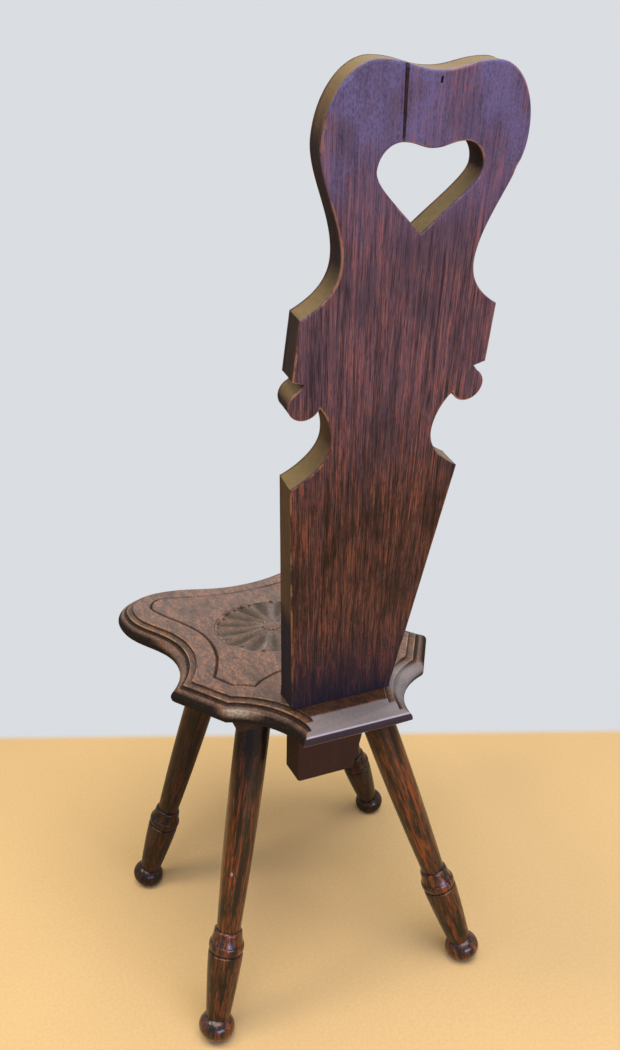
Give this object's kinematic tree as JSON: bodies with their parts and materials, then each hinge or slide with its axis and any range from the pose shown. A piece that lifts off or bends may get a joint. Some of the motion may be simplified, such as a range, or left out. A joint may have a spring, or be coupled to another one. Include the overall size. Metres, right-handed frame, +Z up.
{
  "type": "spinning chair",
  "caption": "Low oak chair with a shaped, raked plank back pierced by a heart hand-hold, tenoned through a moulded seat board on splayed turned legs with ball feet.",
  "frame": {"origin": "on the floor, under the middle of the whole chair's box", "axes": "+Z up; -Y is the front of the chair and +Y its back; +X is the sitter's left"},
  "size_m": [0.3972, 0.5486, 0.9691],
  "materials": {
    "seat_oak": "dark stained oak, waxed, satin",
    "plank_oak": "dark stained oak, waxed, satin",
    "turned_oak": "dark stained oak, polished",
    "batten_oak": "oak, dull",
    "screw_steel": "dulled steel"
  },
  "bodies": {
    "root": {"seat_board": "seat_oak", "back_board": "plank_oak", "front_batten": "batten_oak", "rear_batten": "batten_oak", "front_left_leg": "turned_oak", "front_right_leg": "turned_oak", "rear_left_leg": "turned_oak", "rear_right_leg": "turned_oak", "front_left_batten_screw": "screw_steel", "front_right_batten_screw": "screw_steel", "rear_left_batten_screw": "screw_steel", "rear_right_batten_screw": "screw_steel"}
  },
  "joints": []
}
